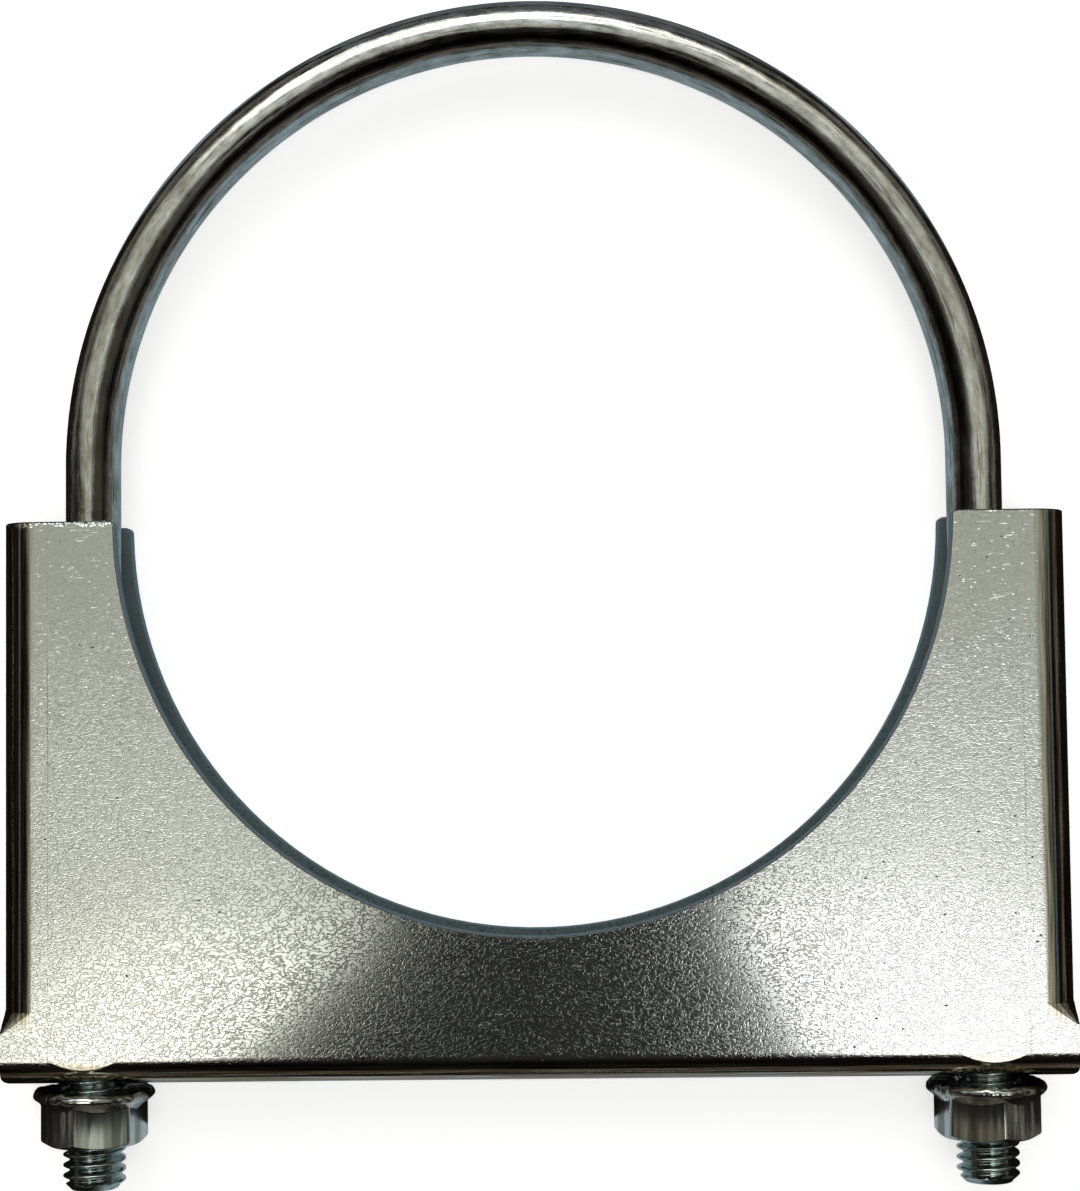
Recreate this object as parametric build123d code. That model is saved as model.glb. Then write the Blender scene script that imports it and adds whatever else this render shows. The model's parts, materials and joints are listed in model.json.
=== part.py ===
from build123d import *
from math import radians, tan
import os

# Flat back pipe clamp: a U-bolt, a folded sheet saddle and two flange nuts, in millimetres.
# The origin is the centre of the pipe seat, halfway between the saddle's two webs.
# +Z is the axis of the pipe, +Y points to the top of the arch, and the legs point to -Y.

# Pipe and arch
pipe_d = 127.0              # outside diameter of the pipe, 5 inch
arch_slack = 0.5            # room between the pipe and the arch, on the radius
arch_rise = 8.9             # centre of the arch above the pipe's centre while the nuts are slack

# Rod and thread, 3/8 inch with 16 threads per inch
rod_d = 8.5                 # plain rod, the blank that the thread is rolled on
thread_d = 9.525            # over the crests
thread_length = 40.0        # along each leg, from the tip
thread_runout = 1.6         # taper from the crests down to the plain rod
tip_chamfer = 1.2
tip_past_nut = 6.8          # thread that shows past each nut

# Saddle
sheet_t = 3.0
web_below_seat = 21.7       # from the lowest point of the seat to the flat back
leg_side_room = 0.44        # from a thread to the web on each side of it
leg_end_room = 5.0          # from a thread to the end wall beside it
end_bend_r = 5.0            # outside radius where a web turns into an end wall
back_bend_r = 4.2           # outside radius where a web turns into the flat back
plain_end_h = 8.0           # open, unfolded strip of the ends next to the back
flare_h = 3.2               # run-out of the end bends above that strip
flare_edge_r = 0.6          # what is left of the end bend where its run-out stops
seam_w = 2.0                # gap where the two flanges of an end wall meet
lip_corner_r = 0.8          # corners of each web at the mouth of the seat
back_corner_r = 1.2         # corners of the back at its ends
press_edge = 0.2            # edge that the press rolls over, on the outer side of the sheet

# Holes in the back
hole_d = 12.7
swell_back_d = 10.7         # cone of the metal pushed out round each hole, where it would meet the back
swell_slope = 49.0          # degrees from the leg, how that cone widens
swell_h = 4.2

# Flange nuts
nut_flats = 14.29           # 9/16 inch across flats
nut_h = 8.8
nut_flange_d = 19.05
nut_rim_h = 1.6             # straight rim of the flange before its cone
nut_rim_edge = 0.6          # bevel at both edges of that rim
nut_cone_slope = 36.0       # degrees, slope of the flange towards the hexagon
nut_chamfer_slope = 30.0    # degrees, at the outer end of the hexagon
nut_thread_room = 0.15      # radial room between the bore and the thread crests
nut_countersink = 0.5
nut_backoff = 0.9           # gap left between each nut and the flat back
nut_turn_left = 20.0        # degrees about the leg
nut_turn_right = -20.0

# Places worked out from the sizes above
seat_r = pipe_d / 2
arch_inner_r = seat_r + arch_slack
leg_x = arch_inner_r + rod_d / 2
web_gap = thread_d + 2 * leg_side_room
half_depth = web_gap / 2 + sheet_t
half_width = leg_x + thread_d / 2 + leg_end_room + sheet_t
back_y = -(seat_r + web_below_seat)
plain_end_y = back_y + plain_end_h
flare_top_y = plain_end_y + flare_h
nut_face_y = back_y - nut_backoff
tip_y = nut_face_y - nut_h - tip_past_nut
thread_top_y = tip_y + thread_length
end_bend_inner_r = end_bend_r - sheet_t
back_bend_inner_r = back_bend_r - sheet_t
beyond = 10.0               # how far a cutting shape runs past what it cuts


def turned(profile):
    """Solid of revolution about the Y axis."""
    return revolve(profile, Axis.Y)


def outline(points):
    """Face inside a closed run of straight lines in the XY plane."""
    return make_face(Polyline(*points, close=True))


def section_at(y, width, depth, corner):
    """Rounded rectangle seen along the legs, at one height."""
    return Plane.XZ.offset(-y) * RectangleRounded(width, depth, corner)


def threaded_end():
    """Threaded part of a leg as its crest cylinder, with run-out and tip chamfer."""
    crest_r = thread_d / 2
    rod_r = rod_d / 2
    return turned(outline([
        (0, tip_y),
        (crest_r - tip_chamfer, tip_y),
        (crest_r, tip_y + tip_chamfer),
        (crest_r, thread_top_y - thread_runout),
        (rod_r, thread_top_y),
        (0, thread_top_y),
    ]))


def u_bolt():
    """Round rod bent to a half circle, with two straight legs and a thread on each."""
    left_leg = Line((-leg_x, thread_top_y), (-leg_x, arch_rise))
    arch = CenterArc((0, arch_rise), leg_x, 180, -180)
    right_leg = Line((leg_x, arch_rise), (leg_x, thread_top_y))
    path = Wire([left_leg, arch, right_leg])
    start = Plane(origin=(-leg_x, thread_top_y, 0), z_dir=(0, 1, 0))
    rod = sweep(start * Circle(rod_d / 2), path=path)
    end = threaded_end()
    return rod + Pos(-leg_x, 0, 0) * end + Pos(leg_x, 0, 0) * end


def folded_ends(width, depth, corner, corner_below, width_below):
    """Shape of the saddle seen along the legs: bent ends, their run-out, and the plain strip."""
    top = section_at(flare_top_y, width, depth, corner)
    bottom = section_at(plain_end_y, width, depth, corner_below)
    bent = extrude(top, amount=-(beyond - flare_top_y))
    flare = loft([top, bottom])
    strip_h = plain_end_y - back_y
    strip = Pos(0, plain_end_y - strip_h / 2, 0) * Box(width_below, strip_h, depth)
    return bent + flare + strip


def channel(depth, bottom_y, bend_r):
    """The saddle's U section, endless along X and open at the top."""
    half = depth / 2
    profile = outline([
        (bottom_y, -half),
        (beyond, -half),
        (beyond, half),
        (bottom_y, half),
    ])
    corners = profile.vertices().group_by(Axis.X)[0]
    rounded = fillet(corners, bend_r)
    return extrude(Plane.YZ * rounded, amount=half_width + beyond, both=True)


def rounded_corners(face, chosen, radius):
    """Face with the corners rounded that pass a test on their place."""
    return fillet(face.vertices().filter_by(chosen), radius)


def web_blank():
    """Outline of a web with the round pipe seat, as thick as the saddle is deep."""
    height = -back_y
    web = Pos(0, -height / 2) * Rectangle(2 * half_width, height) - Circle(seat_r)
    web = rounded_corners(web, lambda v: abs(v.X) < leg_x, lip_corner_r)
    web = rounded_corners(web, lambda v: v.Y < -seat_r, back_corner_r)
    return extrude(web, amount=half_depth, both=True)


def hole_swell():
    """Metal pushed outwards round a hole, flush with the back and with the webs."""
    back_r = swell_back_d / 2
    top_r = back_r + swell_h * tan(radians(swell_slope))
    cone = turned(outline([
        (0, back_y),
        (back_r, back_y),
        (top_r, back_y + swell_h),
        (0, back_y + swell_h),
    ]))
    slab = Pos(0, back_y, 0) * Box(4 * top_r, 4 * swell_h, 2 * half_depth)
    return cone & slab


def back_hole():
    """Cutter for a leg hole, through the back and the inner bends beside it."""
    depth = sheet_t + back_bend_inner_r + beyond
    middle = back_y + sheet_t + back_bend_inner_r - depth / 2
    return Pos(0, middle, 0) * Rot(90, 0, 0) * Cylinder(hole_d / 2, depth)


def seat_edges(body):
    """Edges of the seat on the outer faces of the webs."""
    arcs = body.edges().filter_by(GeomType.CIRCLE)
    round_seat = arcs.filter_by(lambda e: abs(e.radius - seat_r) < press_edge)
    return round_seat.filter_by(lambda e: abs(e.center().Z) > half_depth - press_edge)


def saddle():
    """One folded sheet: two webs, the flat back, and end walls that wrap round the legs."""
    outer = web_blank() & channel(2 * half_depth, back_y, back_bend_r)
    outer = outer & folded_ends(2 * half_width, 2 * half_depth, end_bend_r, flare_edge_r, 2 * half_width)
    inner_width = 2 * (half_width - sheet_t)
    inner = folded_ends(inner_width, web_gap, end_bend_inner_r, flare_edge_r, 2 * (half_width + beyond))
    inner = inner & channel(web_gap, back_y + sheet_t, back_bend_inner_r)
    seam_h = beyond - plain_end_y
    seam = Pos(0, plain_end_y + seam_h / 2, 0) * Box(2 * (half_width + beyond), seam_h, seam_w)
    swell = hole_swell()
    hole = back_hole()
    body = outer + Pos(-leg_x, 0, 0) * swell + Pos(leg_x, 0, 0) * swell
    body = body - inner - seam
    body = body - Pos(-leg_x, 0, 0) * hole - Pos(leg_x, 0, 0) * hole
    return chamfer(seat_edges(body), press_edge)


def nut_flange():
    """Round flange with a bevelled rim, sloping down to the flats."""
    flange_r = nut_flange_d / 2
    inner_r = nut_flats / 2 - nut_countersink
    slope_h = (flange_r - inner_r) * tan(radians(nut_cone_slope))
    profile = outline([
        (0, 0),
        (flange_r, 0),
        (flange_r, -nut_rim_h),
        (inner_r, -nut_rim_h - slope_h),
        (0, -nut_rim_h - slope_h),
    ])
    rim = profile.vertices().group_by(Axis.X)[-1]
    return turned(chamfer(rim, nut_rim_edge))


def nut_hexagon():
    """Hexagon with its outer corners chamfered."""
    flat_r = nut_flats / 2
    past_r = nut_flats
    chamfer_h = (past_r - flat_r) * tan(radians(nut_chamfer_slope))
    prism = extrude(Plane.XZ * RegularPolygon(flat_r, 6, major_radius=False), amount=nut_h)
    crown = turned(outline([
        (0, 0),
        (past_r, 0),
        (past_r, -nut_h + chamfer_h),
        (flat_r, -nut_h),
        (0, -nut_h),
    ]))
    return prism & crown


def nut_bore():
    """Cutter for the bore, countersunk where the leg comes out."""
    bore_r = thread_d / 2 + nut_thread_room
    wide_r = bore_r + nut_countersink
    return turned(outline([
        (0, beyond),
        (bore_r, beyond),
        (bore_r, -nut_h + nut_countersink),
        (wide_r, -nut_h),
        (wide_r, -nut_h - beyond),
        (0, -nut_h - beyond),
    ]))


def flange_nut(x, turn):
    """Hexagon nut with its flange towards the saddle's back."""
    nut = nut_hexagon() + nut_flange() - nut_bore()
    return Pos(x, nut_face_y, 0) * Rot(0, turn, 0) * nut


parts = {
    "u_bolt": u_bolt(),
    "saddle": saddle(),
    "flange_nut_left": flange_nut(-leg_x, nut_turn_left),
    "flange_nut_right": flange_nut(leg_x, nut_turn_right),
}

os.makedirs("parts", exist_ok=True)
for name, shape in parts.items():
    export_step(shape, os.path.join("parts", name + ".step"))
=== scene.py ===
import bmesh
import bpy
import json
from math import cos, pi, radians, sin, tan
from mathutils import Euler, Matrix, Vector, noise


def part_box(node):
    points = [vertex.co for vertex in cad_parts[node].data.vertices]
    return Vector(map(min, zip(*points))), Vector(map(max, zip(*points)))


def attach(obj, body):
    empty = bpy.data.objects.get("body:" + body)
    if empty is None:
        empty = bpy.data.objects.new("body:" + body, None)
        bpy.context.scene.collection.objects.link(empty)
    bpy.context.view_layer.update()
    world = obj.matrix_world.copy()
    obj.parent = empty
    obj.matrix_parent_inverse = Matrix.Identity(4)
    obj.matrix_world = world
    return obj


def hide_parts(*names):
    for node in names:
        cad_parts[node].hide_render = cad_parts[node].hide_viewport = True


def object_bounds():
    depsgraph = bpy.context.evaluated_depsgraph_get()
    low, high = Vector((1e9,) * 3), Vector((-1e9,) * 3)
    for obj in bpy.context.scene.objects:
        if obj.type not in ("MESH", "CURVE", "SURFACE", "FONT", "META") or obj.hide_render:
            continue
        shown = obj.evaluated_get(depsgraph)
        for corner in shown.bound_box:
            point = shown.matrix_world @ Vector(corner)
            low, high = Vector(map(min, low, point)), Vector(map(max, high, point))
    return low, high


# Flat back pipe clamp in bright zinc plate, lying on one side with its legs towards the viewer.
# +Z is the axis of the pipe and points up, +Y points to the top of the arch.

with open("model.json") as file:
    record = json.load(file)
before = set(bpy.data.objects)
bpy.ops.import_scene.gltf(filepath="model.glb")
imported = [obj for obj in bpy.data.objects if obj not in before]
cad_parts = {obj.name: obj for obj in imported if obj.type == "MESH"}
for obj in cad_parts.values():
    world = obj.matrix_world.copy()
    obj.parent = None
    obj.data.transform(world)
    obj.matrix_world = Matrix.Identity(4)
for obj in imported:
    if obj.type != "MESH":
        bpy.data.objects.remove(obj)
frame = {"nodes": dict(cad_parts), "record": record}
cad_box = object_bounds()

mm = 0.001
inch = 25.4 * mm

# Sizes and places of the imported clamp
bolt_low, bolt_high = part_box("u_bolt")
saddle_low, saddle_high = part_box("saddle")
studs = {mount["name"]: mount for mount in frame["record"]["mounts"]}["leg_studs"]["dims"]
crest_r = studs["stud_r_mm"] * mm
leg_x = studs["pcd_mm"] / 2 * mm
tip_y = bolt_low.y
back_y = saddle_low.y
half_width = saddle_high.x
half_depth = saddle_high.z
web_top_y = saddle_high.y
floor_z = cad_box[0][2]

# Rod and rolled thread, 3/8 inch with 16 threads per inch
rod_r = 4.25 * mm
arch_y = bolt_high.y - leg_x - rod_r
thread_length = 40 * mm
thread_pitch = inch / 16
thread_root_r = crest_r - 0.6134 * thread_pitch
thread_runout = 1.6 * mm
tip_chamfer = 1.2 * mm

# Saddle
sheet_t = 3.0 * mm
plain_end_h = 8.0 * mm
sheared_edge_left = 0.95 * mm
sheared_edge_right = 0.45 * mm
end_bend = 5.0 * mm
back_bend = 4.2 * mm
edge_round = 0.22 * mm
die_line_x = half_width - 7.4 * mm

# Flange nuts
nut_flat_r = 9 / 32 * inch
nut_corner_r = 8.13 * mm
nut_rim_h = 1.7 * mm
nut_rim_round = 0.8 * mm
nut_cone_slope = radians(36)
nut_chamfer_slope = radians(30)
nut_bore_r = crest_r + 0.04 * mm
nut_countersink = 0.5 * mm
nut_turns = {"flange_nut_left": radians(20), "flange_nut_right": radians(-20)}

# Camera, as the photograph was taken
camera_at = Vector((7.87, -30.27, 356.2)) * mm
camera_turn = Euler((radians(2.971), radians(1.097), radians(-0.682)), "ZXY")
photo_height = 1191
photo_focal = 2306.1
sensor = 36.0

# Room as the metal mirrors it, by the X and Y of a direction: colour, brightness, centre, reach, edge
room_skirting = "#66625c"
room_patches = [
    ("#1c1a18", 1.0, (0.00, 0.00), (0.955, 0.955), 0.015),
    ("#b2b4aa", 1.0, (0.03, 0.30), (0.82, 0.44), 0.16),
    ("#241f1b", 1.0, (-0.76, -0.06), (0.46, 0.20), 0.14),
    ("#7f776d", 1.0, (-0.50, -0.23), (0.20, 0.09), 0.40),
    ("#b4b8ae", 1.0, (0.46, -0.17), (0.26, 0.16), 0.40),
    ("#ced0c8", 1.0, (-0.16, -0.09), (0.26, 0.11), 0.40),
    ("#cdd0cb", 1.0, (0.20, -0.07), (0.13, 0.09), 0.40),
    ("#5a5f64", 1.0, (-0.05, 0.94), (0.45, 0.09), 0.20),
    ("#ffffff", 2.5, (-0.09, 0.63), (0.36, 0.21), 0.12),
    ("#f2f2ea", 1.0, (0.28, 0.56), (0.22, 0.06), 0.60),
    ("#cfd9e2", 1.0, (-0.03, 0.27), (0.09, 0.15), 0.40),
    ("#f9f9ec", 2.6, (-0.17, -0.24), (0.11, 0.14), 0.30),
    ("#f8f9fa", 3.6, (0.08, -0.23), (0.25, 0.13), 0.50),
]


def linear(hex_colour, brightness=1.0):
    """sRGB hex colour as the linear RGBA that Blender's sockets take."""
    channels = [int(hex_colour[i:i + 2], 16) / 255 for i in (1, 3, 5)]
    channels = [c / 12.92 if c <= 0.04045 else ((c + 0.055) / 1.055) ** 2.4 for c in channels]
    return [c * brightness for c in channels] + [1.0]


def add_node(tree, kind, settings=None, inputs=None):
    """Adds a node with its settings, and its inputs as values or as other nodes' outputs."""
    node = tree.nodes.new(kind)
    for name, value in (settings or {}).items():
        setattr(node, name, value)
    for key, value in (inputs or {}).items():
        if isinstance(value, bpy.types.NodeSocket):
            tree.links.new(value, node.inputs[key])
        else:
            node.inputs[key].default_value = value
    return node


def new_material(name):
    """An empty node material, with its tree."""
    material = bpy.data.materials.new(name)
    material.use_nodes = True
    material.node_tree.nodes.clear()
    return material, material.node_tree


def object_from_mesh(name, mesh):
    """A new object at the origin that shows a mesh."""
    piece = bpy.data.objects.new(name, mesh)
    bpy.context.scene.collection.objects.link(piece)
    return piece


def smooth_by_angle(mesh, angle):
    """Smooth faces with sharp edges where two of them meet at more than an angle."""
    mesh.polygons.foreach_set("use_smooth", [True] * len(mesh.polygons))
    mesh.set_sharp_from_angle(angle=angle)


def plain_mesh(piece):
    """What a piece's modifiers make of it, as a plain mesh of its own."""
    graph = bpy.context.evaluated_depsgraph_get()
    return bpy.data.meshes.new_from_object(piece.evaluated_get(graph))


def sheet_steel():
    """Bright zinc electroplate on cold rolled sheet: a wormy orange-peel grain that shows where the
    light changes, sparse pale flecks and pits, and draw lines along the bends darkened by painted shade."""
    material, tree = new_material("zinc_plated_pressed_sheet")
    place = add_node(tree, "ShaderNodeTexCoord").outputs["Object"]
    axes = add_node(tree, "ShaderNodeSeparateXYZ", None, {"Vector": place})

    # Orange-peel grain: thin curly grooves 0.4 mm apart, deeper towards the back
    slanted = add_node(tree, "ShaderNodeMapping", {"vector_type": "POINT"}, {
        "Vector": place, "Rotation": (0, 0, radians(-24)), "Scale": (0.62, 1.1, 1.0)})
    grain = add_node(tree, "ShaderNodeTexNoise", None, {
        "Vector": slanted.outputs[0], "Scale": 1 / (0.47 * mm), "Detail": 0.6, "Roughness": 0.5,
        "Distortion": 0.5})
    level = add_node(tree, "ShaderNodeMath", {"operation": "SUBTRACT"}, {0: grain.outputs["Fac"], 1: 0.5})
    off_level = add_node(tree, "ShaderNodeMath", {"operation": "ABSOLUTE"}, {0: level.outputs[0]})
    ridge = add_node(tree, "ShaderNodeMapRange", {"interpolation_type": "SMOOTHSTEP"}, {
        "Value": off_level.outputs[0], "From Min": 0.0, "From Max": 0.09})
    lower = add_node(tree, "ShaderNodeMapRange", None, {
        "Value": axes.outputs["Y"], "From Min": -10 * mm, "From Max": -55 * mm, "To Min": 0.35, "To Max": 1.0})
    groove = add_node(tree, "ShaderNodeMath", {"operation": "MULTIPLY"}, {
        0: lower.outputs[0], 1: ridge.outputs[0]})
    smooth = add_node(tree, "ShaderNodeMath", {"operation": "SUBTRACT"}, {0: 1.0, 1: lower.outputs[0]})
    worm = add_node(tree, "ShaderNodeMath", {"operation": "ADD"}, {0: groove.outputs[0], 1: smooth.outputs[0]})

    # Flecks and pits about 0.2 mm each, and short straight scratches, most of them near the top
    cells = add_node(tree, "ShaderNodeTexVoronoi", None, {
        "Vector": slanted.outputs[0], "Scale": 1 / (0.85 * mm)})
    lot = add_node(tree, "ShaderNodeSeparateColor", None, {"Color": cells.outputs["Color"]})
    spot = add_node(tree, "ShaderNodeMapRange", {"interpolation_type": "SMOOTHSTEP"}, {
        "Value": cells.outputs["Distance"], "From Min": 0.08, "From Max": 0.20, "To Min": 1.0, "To Max": 0.0})
    fleck_share = add_node(tree, "ShaderNodeMapRange", None, {
        "Value": axes.outputs["Y"], "From Min": -5 * mm, "From Max": -60 * mm, "To Min": 0.38, "To Max": 0.96})
    is_fleck = add_node(tree, "ShaderNodeMath", {"operation": "GREATER_THAN"}, {
        0: lot.outputs["Red"], 1: fleck_share.outputs[0]})
    speck = add_node(tree, "ShaderNodeMath", {"operation": "MULTIPLY"}, {
        0: spot.outputs[0], 1: is_fleck.outputs[0]})
    crossing = add_node(tree, "ShaderNodeMapping", {"vector_type": "POINT"}, {
        "Vector": place, "Rotation": (0, 0, radians(34)), "Scale": (0.14, 1.0, 1.0)})
    dashes = add_node(tree, "ShaderNodeTexNoise", None, {
        "Vector": crossing.outputs[0], "Scale": 1 / (0.28 * mm), "Detail": 0.0, "Distortion": 0.3})
    dash = add_node(tree, "ShaderNodeMapRange", {"interpolation_type": "SMOOTHSTEP"}, {
        "Value": dashes.outputs["Fac"], "From Min": 0.74, "From Max": 0.80})
    scratch = add_node(tree, "ShaderNodeMath", {"operation": "MULTIPLY"}, {
        0: dash.outputs[0], 1: lot.outputs["Blue"]})
    fleck = add_node(tree, "ShaderNodeMath", {"operation": "MAXIMUM"}, {
        0: speck.outputs[0], 1: scratch.outputs[0]})
    is_pit = add_node(tree, "ShaderNodeMath", {"operation": "LESS_THAN"}, {0: lot.outputs["Green"], 1: 0.035})
    pit = add_node(tree, "ShaderNodeMath", {"operation": "MULTIPLY"}, {
        0: spot.outputs[0], 1: is_pit.outputs[0]})

    # Draw lines: up and down the end bends, and along the back bend
    across = add_node(tree, "ShaderNodeMath", {"operation": "ABSOLUTE"}, {0: axes.outputs["X"]})
    near_end = add_node(tree, "ShaderNodeMapRange", None, {
        "Value": across.outputs[0], "From Min": half_width - 1.1 * end_bend, "From Max": half_width - 0.8 * end_bend})
    above_strip = add_node(tree, "ShaderNodeMapRange", None, {
        "Value": axes.outputs["Y"], "From Min": back_y + plain_end_h, "From Max": back_y + 1.3 * plain_end_h})
    on_end = add_node(tree, "ShaderNodeMath", {"operation": "MULTIPLY"}, {
        0: near_end.outputs[0], 1: above_strip.outputs[0]})
    on_back = add_node(tree, "ShaderNodeMapRange", None, {
        "Value": axes.outputs["Y"], "From Min": back_y + back_bend, "From Max": back_y + 0.6 * back_bend})
    upright = add_node(tree, "ShaderNodeMapping", {"vector_type": "POINT"}, {
        "Vector": place, "Scale": (1.0, 0.03, 1.0)})
    end_lines = add_node(tree, "ShaderNodeTexNoise", None, {
        "Vector": upright.outputs[0], "Scale": 1 / (0.45 * mm), "Detail": 3.0})
    sideways = add_node(tree, "ShaderNodeMapping", {"vector_type": "POINT"}, {
        "Vector": place, "Scale": (0.03, 1.0, 1.0)})
    back_lines = add_node(tree, "ShaderNodeTexNoise", None, {
        "Vector": sideways.outputs[0], "Scale": 1 / (0.45 * mm), "Detail": 3.0})
    lines = add_node(tree, "ShaderNodeMix", {"data_type": "FLOAT"}, {
        0: on_back.outputs[0], 2: end_lines.outputs["Fac"], 3: back_lines.outputs["Fac"]})
    on_bend = add_node(tree, "ShaderNodeMath", {"operation": "MAXIMUM"}, {
        0: on_end.outputs[0], 1: on_back.outputs[0]})
    line_tone = add_node(tree, "ShaderNodeMapRange", None, {
        "Value": lines.outputs[0], "From Min": 0.38, "From Max": 0.62})

    # Line that the die leaves beside each end bend
    from_line = add_node(tree, "ShaderNodeMath", {"operation": "SUBTRACT"}, {
        0: across.outputs[0], 1: die_line_x})
    off_line = add_node(tree, "ShaderNodeMath", {"operation": "ABSOLUTE"}, {0: from_line.outputs[0]})
    die_line = add_node(tree, "ShaderNodeMapRange", {"interpolation_type": "SMOOTHSTEP"}, {
        "Value": off_line.outputs[0], "From Min": 0.04 * mm, "From Max": 0.14 * mm, "To Min": 1.0, "To Max": 0.0})
    broken = add_node(tree, "ShaderNodeMapRange", None, {
        "Value": end_lines.outputs["Fac"], "From Min": 0.42, "From Max": 0.60})
    die_mark = add_node(tree, "ShaderNodeMath", {"operation": "MULTIPLY"}, {
        0: die_line.outputs[0], 1: broken.outputs[0]})

    # Colour: a soft cloudy tone, darker in the grooves of the grain, pale flecks, and brown draw lines on the bends,
    # their dark brown partly painted shade
    cloud = add_node(tree, "ShaderNodeTexNoise", None, {
        "Vector": place, "Scale": 1 / (18 * mm), "Detail": 2.0})
    tone = add_node(tree, "ShaderNodeMix", {"data_type": "RGBA"}, {
        0: cloud.outputs["Fac"], 6: linear("#d6d7cf"), 7: linear("#e0e2e0")})
    shaded = add_node(tree, "ShaderNodeMix", {"data_type": "RGBA"}, {
        0: worm.outputs[0], 6: linear("#a9aba3"), 7: tone.outputs[2]})
    flecked = add_node(tree, "ShaderNodeMix", {"data_type": "RGBA"}, {
        0: fleck.outputs[0], 6: shaded.outputs[2], 7: linear("#f7f7f2")})
    pitted = add_node(tree, "ShaderNodeMix", {"data_type": "RGBA"}, {
        0: pit.outputs[0], 6: flecked.outputs[2], 7: linear("#3c3a36")})
    # Painted shade: the draw lines mix in a dark brown that darkens the whole of each bend
    drawn = add_node(tree, "ShaderNodeMix", {"data_type": "RGBA"}, {
        0: line_tone.outputs[0], 6: linear("#77654f"), 7: linear("#c6bfae")})
    outside = add_node(tree, "ShaderNodeMix", {"data_type": "RGBA"}, {
        0: on_bend.outputs[0], 6: pitted.outputs[2], 7: drawn.outputs[2]})

    # Inside the channel: painted shade, a darker blue-grey tone on the inner faces
    depth = add_node(tree, "ShaderNodeMath", {"operation": "ABSOLUTE"}, {0: axes.outputs["Z"]})
    between = add_node(tree, "ShaderNodeMath", {"operation": "LESS_THAN"}, {
        0: depth.outputs[0], 1: half_depth - 1.5 * edge_round})
    off_ends = add_node(tree, "ShaderNodeMath", {"operation": "LESS_THAN"}, {
        0: across.outputs[0], 1: half_width - sheet_t + 0.05 * mm})
    off_back = add_node(tree, "ShaderNodeMath", {"operation": "GREATER_THAN"}, {
        0: axes.outputs["Y"], 1: back_y + sheet_t - 0.05 * mm})
    open_sides = add_node(tree, "ShaderNodeMath", {"operation": "MULTIPLY"}, {
        0: off_ends.outputs[0], 1: off_back.outputs[0]})
    inside = add_node(tree, "ShaderNodeMath", {"operation": "MULTIPLY"}, {
        0: between.outputs[0], 1: open_sides.outputs[0]})
    channel_painted_shade = add_node(tree, "ShaderNodeMix", {"data_type": "RGBA"}, {
        0: worm.outputs[0], 6: linear("#6c7c80"), 7: linear("#8fa0a4")})
    colour = add_node(tree, "ShaderNodeMix", {"data_type": "RGBA"}, {
        0: inside.outputs[0], 6: outside.outputs[2], 7: channel_painted_shade.outputs[2]})

    # Height in metres: grain, flecks and pits, draw lines
    grain_height = add_node(tree, "ShaderNodeMath", {"operation": "MULTIPLY"}, {
        0: worm.outputs[0], 1: 0.007 * mm})
    fleck_height = add_node(tree, "ShaderNodeMath", {"operation": "MULTIPLY_ADD"}, {
        0: fleck.outputs[0], 1: 0.008 * mm, 2: grain_height.outputs[0]})
    pit_height = add_node(tree, "ShaderNodeMath", {"operation": "MULTIPLY_ADD"}, {
        0: pit.outputs[0], 1: -0.05 * mm, 2: fleck_height.outputs[0]})
    mark_height = add_node(tree, "ShaderNodeMath", {"operation": "MULTIPLY_ADD"}, {
        0: die_mark.outputs[0], 1: -0.009 * mm, 2: pit_height.outputs[0]})
    line_height = add_node(tree, "ShaderNodeMath", {"operation": "MULTIPLY"}, {
        0: lines.outputs[0], 1: 0.025 * mm})
    surface_height = add_node(tree, "ShaderNodeMix", {"data_type": "FLOAT"}, {
        0: on_bend.outputs[0], 2: mark_height.outputs[0], 3: line_height.outputs[0]})

    # Tops of the webs, rolled over unevenly by the shear, and more on the left
    on_right = add_node(tree, "ShaderNodeMath", {"operation": "GREATER_THAN"}, {0: axes.outputs["X"], 1: 0.0})
    usual = add_node(tree, "ShaderNodeMix", {"data_type": "FLOAT"}, {
        0: on_right.outputs[0], 2: sheared_edge_left, 3: sheared_edge_right})
    ragged = add_node(tree, "ShaderNodeTexNoise", None, {
        "Vector": place, "Scale": 1 / (1.8 * mm), "Detail": 3.0, "Roughness": 0.6})
    uneven = add_node(tree, "ShaderNodeMapRange", None, {
        "Value": ragged.outputs["Fac"], "From Min": 0.3, "From Max": 0.7, "To Min": 0.45, "To Max": 1.5})
    roll = add_node(tree, "ShaderNodeMath", {"operation": "MULTIPLY"}, {
        0: usual.outputs[0], 1: uneven.outputs[0]})
    from_top = add_node(tree, "ShaderNodeMath", {"operation": "SUBTRACT"}, {
        0: axes.outputs["Y"], 1: web_top_y})
    past = add_node(tree, "ShaderNodeMath", {"operation": "ADD"}, {0: from_top.outputs[0], 1: roll.outputs[0]})
    past_start = add_node(tree, "ShaderNodeMath", {"operation": "MAXIMUM"}, {0: past.outputs[0], 1: 0.0})
    squared = add_node(tree, "ShaderNodeMath", {"operation": "POWER"}, {0: past_start.outputs[0], 1: 2.0})
    height = add_node(tree, "ShaderNodeMath", {"operation": "MULTIPLY_ADD"}, {
        0: squared.outputs[0], 1: -1 / (3.2 * mm), 2: surface_height.outputs[0]})
    bump = add_node(tree, "ShaderNodeBump", None, {
        "Height": height.outputs[0], "Strength": 1.0, "Distance": 1.0})
    bright = add_node(tree, "ShaderNodeMapRange", None, {
        "Value": worm.outputs[0], "To Min": 0.16, "To Max": 0.115})
    rough = add_node(tree, "ShaderNodeMix", {"data_type": "FLOAT"}, {
        0: inside.outputs[0], 2: bright.outputs[0], 3: 0.5})
    shader = add_node(tree, "ShaderNodeBsdfPrincipled", None, {
        "Base Color": colour.outputs[2], "Metallic": 1.0, "Roughness": rough.outputs[0],
        "Normal": bump.outputs[0]})
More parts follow.
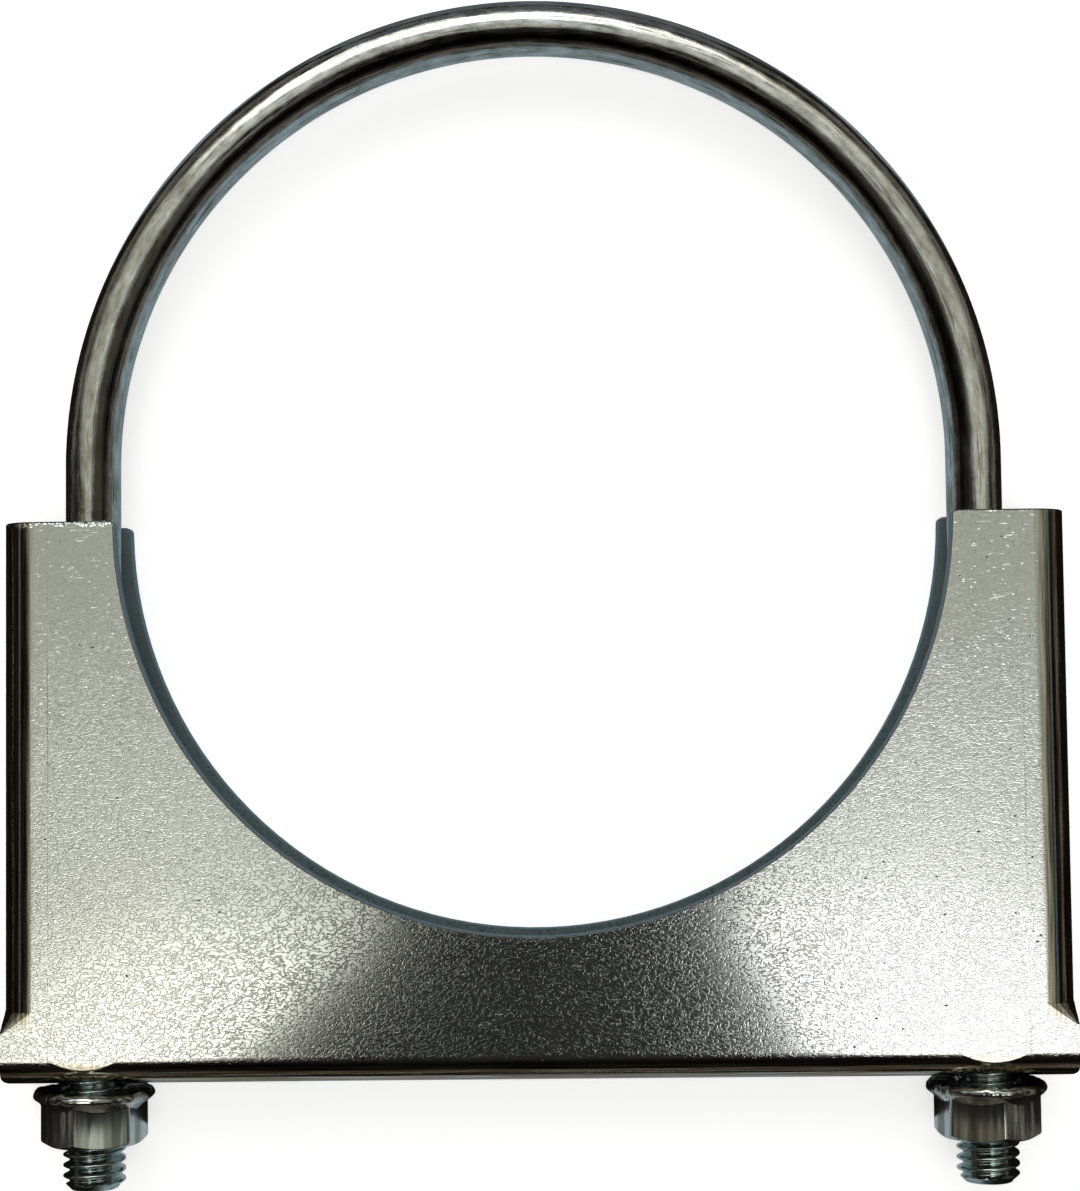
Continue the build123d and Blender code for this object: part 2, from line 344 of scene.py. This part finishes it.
    add_node(tree, "ShaderNodeOutputMaterial", None, {"Surface": shader.outputs[0]})
    return material


def rod_steel():
    """Bright zinc electroplate on drawn rod: glossy, with fine draw lines and mottling along it, and
    a painted dark reflection: a dark band painted along its inner side."""
    material, tree = new_material("zinc_plated_drawn_rod")
    drawn = add_node(tree, "ShaderNodeAttribute", {"attribute_name": "drawn"}).outputs["Vector"]
    lengthwise = add_node(tree, "ShaderNodeMapping", {"vector_type": "POINT"}, {
        "Vector": drawn, "Scale": (1.0, 1.0, 0.045)})
    line = add_node(tree, "ShaderNodeTexNoise", None, {
        "Vector": lengthwise.outputs[0], "Scale": 1 / (0.5 * mm), "Detail": 3.0, "Roughness": 0.6})
    patchy = add_node(tree, "ShaderNodeMapping", {"vector_type": "POINT"}, {
        "Vector": drawn, "Scale": (1.0, 1.0, 0.4)})
    mottle = add_node(tree, "ShaderNodeTexNoise", None, {
        "Vector": patchy.outputs[0], "Scale": 1 / (1.6 * mm), "Detail": 4.0, "Roughness": 0.65})
    depth = add_node(tree, "ShaderNodeMapRange", None, {
        "Value": mottle.outputs["Fac"], "From Min": 0.35, "From Max": 0.65})
    tone = add_node(tree, "ShaderNodeMix", {"data_type": "RGBA"}, {
        0: depth.outputs[0], 6: linear("#b4b3a6"), 7: linear("#f0f0ea")})
    dark_line = add_node(tree, "ShaderNodeMapRange", {"interpolation_type": "SMOOTHSTEP"}, {
        "Value": line.outputs["Fac"], "From Min": 0.30, "From Max": 0.46})
    lined = add_node(tree, "ShaderNodeMix", {"data_type": "RGBA"}, {
        0: dark_line.outputs[0], 6: linear("#7c786f"), 7: tone.outputs[2]})

    # How far a point lies from the rod's centre line, towards the pipe
    place = add_node(tree, "ShaderNodeTexCoord").outputs["Object"]
    axes = add_node(tree, "ShaderNodeSeparateXYZ", None, {"Vector": place})
    above = add_node(tree, "ShaderNodeMath", {"operation": "SUBTRACT"}, {0: axes.outputs["Y"], 1: arch_y})
    on_arch = add_node(tree, "ShaderNodeMath", {"operation": "MAXIMUM"}, {0: above.outputs[0], 1: 0.0})
    spoke = add_node(tree, "ShaderNodeCombineXYZ", None, {"X": axes.outputs["X"], "Y": on_arch.outputs[0]})
    spoke_length = add_node(tree, "ShaderNodeVectorMath", {"operation": "LENGTH"}, {0: spoke.outputs[0]})
    inwards = add_node(tree, "ShaderNodeMath", {"operation": "SUBTRACT"}, {
        0: leg_x, 1: spoke_length.outputs["Value"]})
    wavy = add_node(tree, "ShaderNodeMath", {"operation": "MULTIPLY_ADD"}, {
        0: line.outputs["Fac"], 1: 0.25 * rod_r, 2: inwards.outputs[0]})
    # Painted dark reflection: a dark band along the rod's inner side, its edge wavy with the draw lines
    band_start = add_node(tree, "ShaderNodeMapRange", {"interpolation_type": "SMOOTHSTEP"}, {
        "Value": wavy.outputs[0], "From Min": 0.22 * rod_r, "From Max": 0.42 * rod_r})
    band_end = add_node(tree, "ShaderNodeMapRange", {"interpolation_type": "SMOOTHSTEP"}, {
        "Value": inwards.outputs[0], "From Min": 0.56 * rod_r, "From Max": 0.64 * rod_r,
        "To Min": 0.92, "To Max": 0.0})
    painted_dark_reflection = add_node(tree, "ShaderNodeMath", {"operation": "MULTIPLY"}, {
        0: band_start.outputs[0], 1: band_end.outputs[0]})
    colour = add_node(tree, "ShaderNodeMix", {"data_type": "RGBA"}, {
        0: painted_dark_reflection.outputs[0], 6: lined.outputs[2], 7: linear("#37342e")})
    rough = add_node(tree, "ShaderNodeMapRange", None, {
        "Value": mottle.outputs["Fac"], "From Min": 0.3, "From Max": 0.7, "To Min": 0.10, "To Max": 0.22})
    line_height = add_node(tree, "ShaderNodeMath", {"operation": "MULTIPLY"}, {
        0: line.outputs["Fac"], 1: 0.03 * mm})
    height = add_node(tree, "ShaderNodeMath", {"operation": "MULTIPLY_ADD"}, {
        0: mottle.outputs["Fac"], 1: 0.035 * mm, 2: line_height.outputs[0]})
    bump = add_node(tree, "ShaderNodeBump", None, {
        "Height": height.outputs[0], "Strength": 1.0, "Distance": 1.0})
    shader = add_node(tree, "ShaderNodeBsdfPrincipled", None, {
        "Base Color": colour.outputs[2], "Metallic": 1.0, "Roughness": rough.outputs[0],
        "Normal": bump.outputs[0]})
    add_node(tree, "ShaderNodeOutputMaterial", None, {"Surface": shader.outputs[0]})
    return material


def nut_steel():
    """Bright zinc electroplate on a cold forged nut: dark and pale die streaks run along its axis."""
    material, tree = new_material("zinc_plated_forged_nut")
    place = add_node(tree, "ShaderNodeTexCoord").outputs["Object"]
    axial = add_node(tree, "ShaderNodeMapping", {"vector_type": "POINT"}, {
        "Vector": place, "Scale": (1.0, 0.07, 1.0)})
    streak = add_node(tree, "ShaderNodeTexNoise", None, {
        "Vector": axial.outputs[0], "Scale": 1 / (1.9 * mm), "Detail": 2.5, "Roughness": 0.55})
    band = add_node(tree, "ShaderNodeMapRange", None, {
        "Value": streak.outputs["Fac"], "From Min": 0.38, "From Max": 0.62})
    colour = add_node(tree, "ShaderNodeMix", {"data_type": "RGBA"}, {
        0: band.outputs[0], 6: linear("#868881"), 7: linear("#e2e6de")})
    rough = add_node(tree, "ShaderNodeMapRange", None, {
        "Value": streak.outputs["Fac"], "From Min": 0.3, "From Max": 0.7, "To Min": 0.24, "To Max": 0.12})
    height = add_node(tree, "ShaderNodeMath", {"operation": "MULTIPLY"}, {
        0: streak.outputs["Fac"], 1: 0.045 * mm})
    bump = add_node(tree, "ShaderNodeBump", None, {
        "Height": height.outputs[0], "Strength": 1.0, "Distance": 1.0})
    shader = add_node(tree, "ShaderNodeBsdfPrincipled", None, {
        "Base Color": colour.outputs[2], "Metallic": 1.0, "Roughness": rough.outputs[0],
        "Normal": bump.outputs[0]})
    add_node(tree, "ShaderNodeOutputMaterial", None, {"Surface": shader.outputs[0]})
    return material


def thread_steel():
    """Bright zinc electroplate on a rolled thread: glossy, with a blue-green tinge of passivation."""
    material, tree = new_material("zinc_plated_rolled_thread")
    place = add_node(tree, "ShaderNodeTexCoord").outputs["Object"]
    ring = add_node(tree, "ShaderNodeMapping", {"vector_type": "POINT"}, {
        "Vector": place, "Scale": (0.3, 1.0, 0.3)})
    smear = add_node(tree, "ShaderNodeTexNoise", None, {
        "Vector": ring.outputs[0], "Scale": 1 / (0.5 * mm), "Detail": 3.0})
    tinge = add_node(tree, "ShaderNodeMapRange", None, {
        "Value": smear.outputs["Fac"], "From Min": 0.35, "From Max": 0.65})
    colour = add_node(tree, "ShaderNodeMix", {"data_type": "RGBA"}, {
        0: tinge.outputs[0], 6: linear("#8fa5a4"), 7: linear("#cdd2cf")})
    rough = add_node(tree, "ShaderNodeMapRange", None, {
        "Value": smear.outputs["Fac"], "To Min": 0.10, "To Max": 0.22})
    height = add_node(tree, "ShaderNodeMath", {"operation": "MULTIPLY"}, {
        0: smear.outputs["Fac"], 1: 0.04 * mm})
    bump = add_node(tree, "ShaderNodeBump", None, {
        "Height": height.outputs[0], "Strength": 1.0, "Distance": 1.0})
    shader = add_node(tree, "ShaderNodeBsdfPrincipled", None, {
        "Base Color": colour.outputs[2], "Metallic": 1.0, "Roughness": rough.outputs[0],
        "Normal": bump.outputs[0]})
    add_node(tree, "ShaderNodeOutputMaterial", None, {"Surface": shader.outputs[0]})
    return material


def merged_copy(node):
    """Mesh of a CAD node as one closed skin, with its flat faces joined."""
    work = bmesh.new()
    work.from_mesh(frame["nodes"][node].data)
    bmesh.ops.remove_doubles(work, verts=work.verts, dist=0.001 * mm)
    bmesh.ops.dissolve_limit(work, angle_limit=radians(0.5), verts=work.verts, edges=work.edges)
    mesh = bpy.data.meshes.new(node + "_skin")
    work.to_mesh(mesh)
    work.free()
    return mesh


def saddle_sheet(material):
    """The folded sheet with its edges slightly rounded and its webs kept flat."""
    piece = object_from_mesh("saddle_sheet", merged_copy("saddle"))
    edge = piece.modifiers.new("edges", "BEVEL")
    edge.width = edge_round
    edge.segments = 2
    edge.limit_method = "ANGLE"
    edge.angle_limit = radians(28)
    edge.use_clamp_overlap = True
    rounded = plain_mesh(piece)
    smooth_by_angle(rounded, radians(32))
    piece.modifiers.clear()
    piece.data = rounded
    flat = piece.modifiers.new("flat_webs", "WEIGHTED_NORMAL")
    flat.keep_sharp = True
    flat.weight = 100
    mesh = plain_mesh(piece)
    piece.modifiers.clear()
    piece.data = mesh
    mesh.materials.clear()
    mesh.materials.append(material)
    return piece


def nut_outline(angle, turn, rim_r, lip, height):
    """Radius and depth of each point round the section of a nut at one angle about its axis."""
    side = (angle - turn + pi / 6) % (pi / 3) - pi / 6
    hex_r = min(nut_flat_r / cos(side), nut_corner_r)
    cone_end = nut_rim_h + (rim_r - hex_r) * tan(nut_cone_slope)
    crown_r = 0.97 * nut_flat_r
    chamfer_start = height - (hex_r - crown_r) * tan(nut_chamfer_slope)
    mouth_r = nut_bore_r + nut_countersink
    points = [(nut_bore_r, lip + nut_countersink), (mouth_r, lip), (rim_r - nut_rim_round, lip)]
    steps = 5
    for step in range(1, steps + 1):
        a = step / steps * pi / 2
        points.append((rim_r - nut_rim_round * (1 - sin(a)), lip + nut_rim_round * (1 - cos(a))))
    bend = pi / 2 - nut_cone_slope
    start = nut_rim_h - nut_rim_round * tan(bend / 2)
    for step in range(1, steps + 1):
        a = step / steps * bend
        points.append((rim_r - nut_rim_round * (1 - cos(a)), start + nut_rim_round * sin(a)))
    foot = 0.25 * mm
    points.append((hex_r + foot, cone_end - foot * tan(nut_cone_slope)))
    points.append((hex_r + 0.3 * foot, cone_end))
    points.append((hex_r, cone_end + foot))
    points.append((hex_r, chamfer_start - 0.5 * foot))
    points.append((hex_r - 0.5 * foot, chamfer_start + 0.2 * foot))
    points.append((crown_r, height))
    points.append((mouth_r, height))
    points.append((nut_bore_r, height - nut_countersink))
    return points


def flange_nut(node, material):
    """Hexagon nut with a thick rolled flange whose rim came out of the die wavy."""
    low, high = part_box(node)
    centre = (low + high) / 2
    flange_r = (high.x - low.x) / 2
    height = high.y - low.y
    turn = nut_turns[node]
    side_steps = 40
    shares = [30 * sin(pi / 2 * (2 * k / side_steps - 1)) for k in range(side_steps)]
    angles = [turn + radians(60 * side + share) for side in range(6) for share in shares]
    rings = []
    for angle in angles:
        way = Vector((cos(angle), sin(angle), turn))
        wide = 0.5 + 0.5 * noise.noise(1.7 * way)
        fine = 0.5 + 0.5 * noise.noise(8.5 * way)
        rim_r = flange_r - (0.28 * wide + 0.46 * fine) * mm
        lip = (0.36 * wide + 0.55 * (1 - fine)) * mm
        rings.append([
            (centre.x + r * sin(angle), high.y - depth, centre.z + r * cos(angle))
            for r, depth in nut_outline(angle, turn, rim_r, lip, height)])
    count = len(rings[0])
    points = [point for ring in rings for point in ring]
    faces = []
    for i in range(len(rings)):
        for j in range(count):
            here, there = i * count, (i + 1) % len(rings) * count
            k = (j + 1) % count
            faces.append((here + j, here + k, there + k, there + j))
    mesh = bpy.data.meshes.new(node + "_forged")
    mesh.from_pydata(points, [], faces)
    mesh.materials.append(material)
    smooth_by_angle(mesh, radians(30))
    return object_from_mesh(node + "_forged", mesh)


def rod_path():
    """Centre line of the bent rod, from the left thread over the arch to the right thread."""
    start_y = tip_y + thread_length - thread_runout
    steps = 160
    points = [(-leg_x, start_y, 0), (-leg_x, (start_y + arch_y) / 2, 0)]
    for step in range(steps + 1):
        a = pi - pi * step / steps
        points.append((leg_x * cos(a), arch_y + leg_x * sin(a), 0))
    points += [(leg_x, (start_y + arch_y) / 2, 0), (leg_x, start_y, 0)]
    curve = bpy.data.curves.new("rod_path", "CURVE")
    curve.dimensions = "3D"
    spline = curve.splines.new("POLY")
    spline.points.add(len(points) - 1)
    for point, place in zip(spline.points, points):
        point.co = (*place, 1)
    return curve


def new_geometry_tree(name, material, sizes):
    """An empty geometry tree with a named input for each size, and the node that gives them."""
    tree = bpy.data.node_groups.new(name, "GeometryNodeTree")
    tree.interface.new_socket("Geometry", in_out="INPUT", socket_type="NodeSocketGeometry")
    for size in sizes:
        tree.interface.new_socket(size, in_out="INPUT", socket_type="NodeSocketFloat")
    tree.interface.new_socket("Geometry", in_out="OUTPUT", socket_type="NodeSocketGeometry")
    return tree, add_node(tree, "NodeGroupInput")


def finish_geometry_tree(tree, geometry, material):
    """Ends a geometry tree as real mesh in its material."""
    real = add_node(tree, "GeometryNodeRealizeInstances", None, {"Geometry": geometry})
    coated = add_node(tree, "GeometryNodeSetMaterial", None, {
        "Geometry": real.outputs["Geometry"], "Material": material})
    add_node(tree, "NodeGroupOutput", None, {"Geometry": coated.outputs["Geometry"]})


def grown(name, data, tree, sizes, angle):
    """Piece that a geometry tree makes at the given sizes, as a plain mesh."""
    start = object_from_mesh(name, data)
    growth = start.modifiers.new("growth", "NODES")
    growth.node_group = tree
    for socket in tree.interface.items_tree:
        if socket.in_out == "INPUT" and socket.name in sizes:
            growth[socket.identifier] = sizes[socket.name]
    mesh = plain_mesh(start)
    bpy.data.objects.remove(start)
    smooth_by_angle(mesh, angle)
    return object_from_mesh(name, mesh)


def drawn_rod_tree(material):
    """Geometry Nodes: a round rod along a path, with its place on the straight rod kept."""
    tree, given = new_geometry_tree("drawn_rod", material, ["Rod radius"])
    along = add_node(tree, "GeometryNodeSplineParameter")
    path = add_node(tree, "GeometryNodeCaptureAttribute", {"domain": "POINT"}, {
        "Geometry": given.outputs["Geometry"]})
    path.capture_items.new("FLOAT", "Length")
    tree.links.new(along.outputs["Length"], path.inputs["Length"])
    circle = add_node(tree, "GeometryNodeCurvePrimitiveCircle", {"mode": "RADIUS"}, {
        "Resolution": 48, "Radius": given.outputs["Rod radius"]})
    place = add_node(tree, "GeometryNodeInputPosition")
    section = add_node(tree, "GeometryNodeCaptureAttribute", {"domain": "POINT"}, {
        "Geometry": circle.outputs["Curve"]})
    section.capture_items.new("VECTOR", "Section")
    tree.links.new(place.outputs[0], section.inputs["Section"])
    swept = add_node(tree, "GeometryNodeCurveToMesh", None, {
        "Curve": path.outputs["Geometry"], "Profile Curve": section.outputs["Geometry"],
        "Fill Caps": True})
    part = add_node(tree, "ShaderNodeSeparateXYZ", None, {"Vector": section.outputs["Section"]})
    drawn = add_node(tree, "ShaderNodeCombineXYZ", None, {
        "X": part.outputs["X"], "Y": part.outputs["Y"], "Z": path.outputs["Length"]})
    kept = add_node(tree, "GeometryNodeStoreNamedAttribute", {
        "data_type": "FLOAT_VECTOR", "domain": "POINT"}, {
        "Geometry": swept.outputs["Mesh"], "Name": "drawn", "Value": drawn.outputs[0]})
    finish_geometry_tree(tree, kept.outputs["Geometry"], material)
    return tree


def rolled_thread_tree(material):
    """Geometry Nodes: a closed cylinder whose wall follows a right-hand screw thread."""
    tree, given = new_geometry_tree("rolled_thread", material, [
        "Leg place", "Tip place", "Length", "Pitch", "Crest radius", "Root radius", "Rod radius",
        "Run-out", "Chamfer"])
    blank = add_node(tree, "GeometryNodeMeshCylinder", {"fill_type": "NGON"}, {
        "Vertices": 48, "Side Segments": 300, "Radius": given.outputs["Crest radius"],
        "Depth": given.outputs["Length"]})
    place = add_node(tree, "GeometryNodeInputPosition").outputs[0]
    part = add_node(tree, "ShaderNodeSeparateXYZ", None, {"Vector": place})
    along = add_node(tree, "ShaderNodeMath", {"operation": "MULTIPLY_ADD"}, {
        0: given.outputs["Length"], 1: 0.5, 2: part.outputs["Z"]}).outputs[0]

    # Share of a turn about the leg, and the wave of the thread's flanks
    other = add_node(tree, "ShaderNodeMath", {"operation": "MULTIPLY"}, {0: part.outputs["Y"], 1: -1.0})
    angle = add_node(tree, "ShaderNodeMath", {"operation": "ARCTAN2"}, {
        0: part.outputs["X"], 1: other.outputs[0]})
    turns = add_node(tree, "ShaderNodeMath", {"operation": "DIVIDE"}, {0: angle.outputs[0], 1: 2 * pi})
    pitches = add_node(tree, "ShaderNodeMath", {"operation": "DIVIDE"}, {
        0: along, 1: given.outputs["Pitch"]})
    climb = add_node(tree, "ShaderNodeMath", {"operation": "SUBTRACT"}, {
        0: pitches.outputs[0], 1: turns.outputs[0]})
    wave = add_node(tree, "ShaderNodeMath", {"operation": "PINGPONG"}, {0: climb.outputs[0], 1: 0.5})
    flank = add_node(tree, "ShaderNodeMapRange", {"interpolation_type": "SMOOTHSTEP"}, {
        "Value": wave.outputs[0], "From Min": 0.03, "From Max": 0.45,
        "To Min": given.outputs["Root radius"], "To Max": given.outputs["Crest radius"]})

    # The thread runs out into the plain rod, and the tip is chamfered
    left = add_node(tree, "ShaderNodeMath", {"operation": "SUBTRACT"}, {
        0: given.outputs["Length"], 1: along})
    share = add_node(tree, "ShaderNodeMapRange", None, {
        "Value": left.outputs[0], "From Min": 0.0, "From Max": given.outputs["Run-out"]})
    faded = add_node(tree, "ShaderNodeMix", {"data_type": "FLOAT"}, {
        0: share.outputs[0], 2: given.outputs["Rod radius"], 3: flank.outputs[0]})
    tip_r = add_node(tree, "ShaderNodeMath", {"operation": "SUBTRACT"}, {
        0: given.outputs["Crest radius"], 1: given.outputs["Chamfer"]})
    tip = add_node(tree, "ShaderNodeMath", {"operation": "ADD"}, {0: tip_r.outputs[0], 1: along})
    radius = add_node(tree, "ShaderNodeMath", {"operation": "MINIMUM"}, {
        0: faded.outputs[0], 1: tip.outputs[0]})

    # The blank's wall moves to that radius, and its axis lies down along the leg
    flat = add_node(tree, "ShaderNodeCombineXYZ", None, {"X": part.outputs["X"], "Z": other.outputs[0]})
    outward = add_node(tree, "ShaderNodeVectorMath", {"operation": "NORMALIZE"}, {0: flat.outputs[0]})
    wall = add_node(tree, "ShaderNodeVectorMath", {"operation": "SCALE"}, {
        0: outward.outputs[0], "Scale": radius.outputs[0]})
    on_leg = add_node(tree, "ShaderNodeMath", {"operation": "ADD"}, {0: given.outputs["Tip place"], 1: along})
    axis = add_node(tree, "ShaderNodeCombineXYZ", None, {
        "X": given.outputs["Leg place"], "Y": on_leg.outputs[0]})
    target = add_node(tree, "ShaderNodeVectorMath", {"operation": "ADD"}, {
        0: wall.outputs[0], 1: axis.outputs[0]})
    rolled = add_node(tree, "GeometryNodeSetPosition", None, {
        "Geometry": blank.outputs["Mesh"], "Position": target.outputs[0]})
    finish_geometry_tree(tree, rolled.outputs["Geometry"], material)
    return tree


def white_table():
    """Matt white table top. Rays from the camera and from gloss also see it as plain white."""
    material, tree = new_material("white_laminate_table")
    path = add_node(tree, "ShaderNodeLightPath")
    seen = add_node(tree, "ShaderNodeMath", {"operation": "MAXIMUM"}, {
        0: path.outputs["Is Camera Ray"], 1: path.outputs["Is Glossy Ray"]})
    shown = add_node(tree, "ShaderNodeMath", {"operation": "MAXIMUM"}, {
        0: seen.outputs[0], 1: path.outputs["Is Transmission Ray"]})
    glow = add_node(tree, "ShaderNodeMath", {"operation": "MULTIPLY"}, {
        0: shown.outputs[0], 1: 0.68})
    shader = add_node(tree, "ShaderNodeBsdfPrincipled", None, {
        "Base Color": linear("#f2f2f0"), "Roughness": 0.8, "Emission Color": linear("#ffffff"),
        "Emission Strength": glow.outputs[0]})
    add_node(tree, "ShaderNodeOutputMaterial", None, {"Surface": shader.outputs[0]})
    work = bmesh.new()
    bmesh.ops.create_circle(work, cap_ends=True, segments=96, radius=4.0)
    bmesh.ops.translate(work, verts=work.verts, vec=(0, 0, floor_z))
    mesh = bpy.data.meshes.new("table_top")
    work.to_mesh(mesh)
    work.free()
    mesh.materials.append(material)
    object_from_mesh("table_top", mesh)


def mirrored_card(name, colour, points, faces, glows=False):
    """Matt card, or a glowing card that paints a reflection, which only shows in reflections."""
    material, tree = new_material(name + "_cloth")
    # A glowing card is no lamp: its even glow is a painted reflection of a lit surface
    kind = "ShaderNodeEmission" if glows else "ShaderNodeBsdfDiffuse"
    shader = add_node(tree, kind, None, {"Color": linear(colour)})
    add_node(tree, "ShaderNodeOutputMaterial", None, {"Surface": shader.outputs[0]})
    mesh = bpy.data.meshes.new(name)
    mesh.from_pydata(points, [], faces)
    mesh.materials.append(material)
    card = object_from_mesh(name, mesh)
    card.visible_camera = False
    card.visible_diffuse = False
    card.visible_shadow = False


def pale_backdrop():
    """Pale studio backdrop round the table, which only shows behind the clamp."""
    material, tree = new_material("backdrop_paper")
    shader = add_node(tree, "ShaderNodeEmission", None, {"Color": linear("#fbfbfa")})
    add_node(tree, "ShaderNodeOutputMaterial", None, {"Surface": shader.outputs[0]})
    steps = 64
    reach = 3.9
    top = 4.0
    ways = [(cos(2 * pi * k / steps), sin(2 * pi * k / steps)) for k in range(steps)]
    points = [(reach * x, reach * y, z) for z in (floor_z - 0.1, top) for x, y in ways]
    faces = [(k, (k + 1) % steps, steps + (k + 1) % steps, steps + k) for k in range(steps)]
    mesh = bpy.data.meshes.new("backdrop")
    mesh.from_pydata(points, [], faces)
    mesh.materials.append(material)
    backdrop = object_from_mesh("backdrop", mesh)
    backdrop.visible_diffuse = False
    backdrop.visible_glossy = False
    backdrop.visible_transmission = False
    backdrop.visible_shadow = False


def table_cloth():
    """Dark cloth on the table, as the metal mirrors it."""
    reach = 1.6
    height = floor_z + 0.2 * mm
    corners = [(x * reach, y * reach, height) for x, y in ((-1, -1), (1, -1), (1, 1), (-1, 1))]
    mirrored_card("cloth", "#2b2723", corners, [(0, 1, 2, 3)])


def glowing_reflection_cards():
    """Glowing grey-blue cards round the clamp: a painted reflection of the lit table for the metal to mirror, left
    out as painted shadow where its shadow falls.
    """
    height = floor_z + 0.4 * mm
    lit = {
        "painted_reflection_between_legs": ("#84939d", -72, 72, -84, 80),
        "painted_reflection_between_nuts": ("#84939d", -38, 38, -94, -84),
        "painted_reflection_before_tips": ("#a0aab0", -72, 72, -150, -94),
        "painted_reflection_beyond_arch": ("#5d676f", -50, 50, 84, 170),
    }
    for name, (colour, left, right, low, top) in lit.items():
        corners = [(x * mm, y * mm, height) for x, y in
                   ((left, low), (right, low), (right, top), (left, top))]
        mirrored_card(name, colour, corners, [(0, 1, 2, 3)], True)


def camera_shade():
    """Black card just above the camera, which widens towards the viewer."""
    height = camera_at.z + 4 * mm
    top, middle, low, end = 0.041, -0.098, -0.140, -0.50
    points = [(-0.046, top, height), (0.047, top, height), (0.052, middle, height),
              (0.080, low, height), (0.15, end, height), (-0.17, end, height),
              (-0.108, low, height), (-0.056, middle, height)]
    mirrored_card("shade", "#0c0d12", points, [(0, 1, 2, 7), (7, 2, 3, 6), (6, 3, 4, 5)])


def studio_room():
    """Room light: the ceiling, window and lamp of the listed patches, between dark walls."""
    world = bpy.data.worlds.new("studio_room")
    bpy.context.scene.world = world
    world.use_nodes = True
    tree = world.node_tree
    tree.nodes.clear()
    way = add_node(tree, "ShaderNodeTexCoord").outputs["Generated"]
    flat = add_node(tree, "ShaderNodeVectorMath", {"operation": "MULTIPLY"}, {
        0: way, 1: (1, 1, 0)}).outputs[0]
    colour = linear(room_skirting)
    for tint, brightness, centre, reach, edge in room_patches:
        offset = add_node(tree, "ShaderNodeVectorMath", {"operation": "SUBTRACT"}, {
            0: flat, 1: (*centre, 0)})
        share = add_node(tree, "ShaderNodeVectorMath", {"operation": "DIVIDE"}, {
            0: offset.outputs[0], 1: (*reach, 1)})
        far = add_node(tree, "ShaderNodeVectorMath", {"operation": "LENGTH"}, {0: share.outputs[0]})
        mask = add_node(tree, "ShaderNodeMapRange", {"interpolation_type": "SMOOTHSTEP"}, {
            "Value": far.outputs["Value"], "From Min": 1 - edge, "From Max": 1 + edge,
            "To Min": 1.0, "To Max": 0.0})
        colour = add_node(tree, "ShaderNodeMix", {"data_type": "RGBA"}, {
            0: mask.outputs[0], 6: colour, 7: linear(tint, brightness)}).outputs[2]
    light = add_node(tree, "ShaderNodeBackground", None, {"Color": colour})
    add_node(tree, "ShaderNodeOutputWorld", None, {"Surface": light.outputs[0]})


def photo_camera():
    """Camera where the photograph was taken from."""
    lens = bpy.data.cameras.new("photo_camera")
    lens.sensor_width = sensor
    lens.sensor_fit = "AUTO"
    lens.lens = photo_focal / photo_height * sensor
    lens.clip_start = 10 * mm
    lens.clip_end = 20.0
    camera = bpy.data.objects.new("photo_camera", lens)
    camera.location = camera_at
    camera.rotation_mode = "ZXY"
    camera.rotation_euler = camera_turn
    bpy.context.scene.collection.objects.link(camera)
    bpy.context.scene.camera = camera


photo_camera()
bpy.context.scene.view_settings.view_transform = "Standard"
studio_room()
white_table()
pale_backdrop()
table_cloth()
glowing_reflection_cards()
camera_shade()

sheet = saddle_sheet(sheet_steel())
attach(sheet, "saddle")
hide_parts("saddle")

forged = nut_steel()
for name in nut_turns:
    nut = flange_nut(name, forged)
    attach(nut, name)
    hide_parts(name)

thread_tree = rolled_thread_tree(thread_steel())
for name, place in (("u_bolt_thread_left", -leg_x), ("u_bolt_thread_right", leg_x)):
    thread = grown(name, bpy.data.meshes.new(name), thread_tree, {
        "Leg place": place, "Tip place": tip_y, "Length": thread_length, "Pitch": thread_pitch,
        "Crest radius": crest_r, "Root radius": thread_root_r, "Rod radius": rod_r,
        "Run-out": thread_runout, "Chamfer": tip_chamfer}, radians(50))
    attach(thread, "u_bolt")
    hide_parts("u_bolt")

rod = grown("u_bolt_rod", rod_path(), drawn_rod_tree(rod_steel()), {"Rod radius": rod_r}, radians(40))
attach(rod, "u_bolt")
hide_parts("u_bolt")
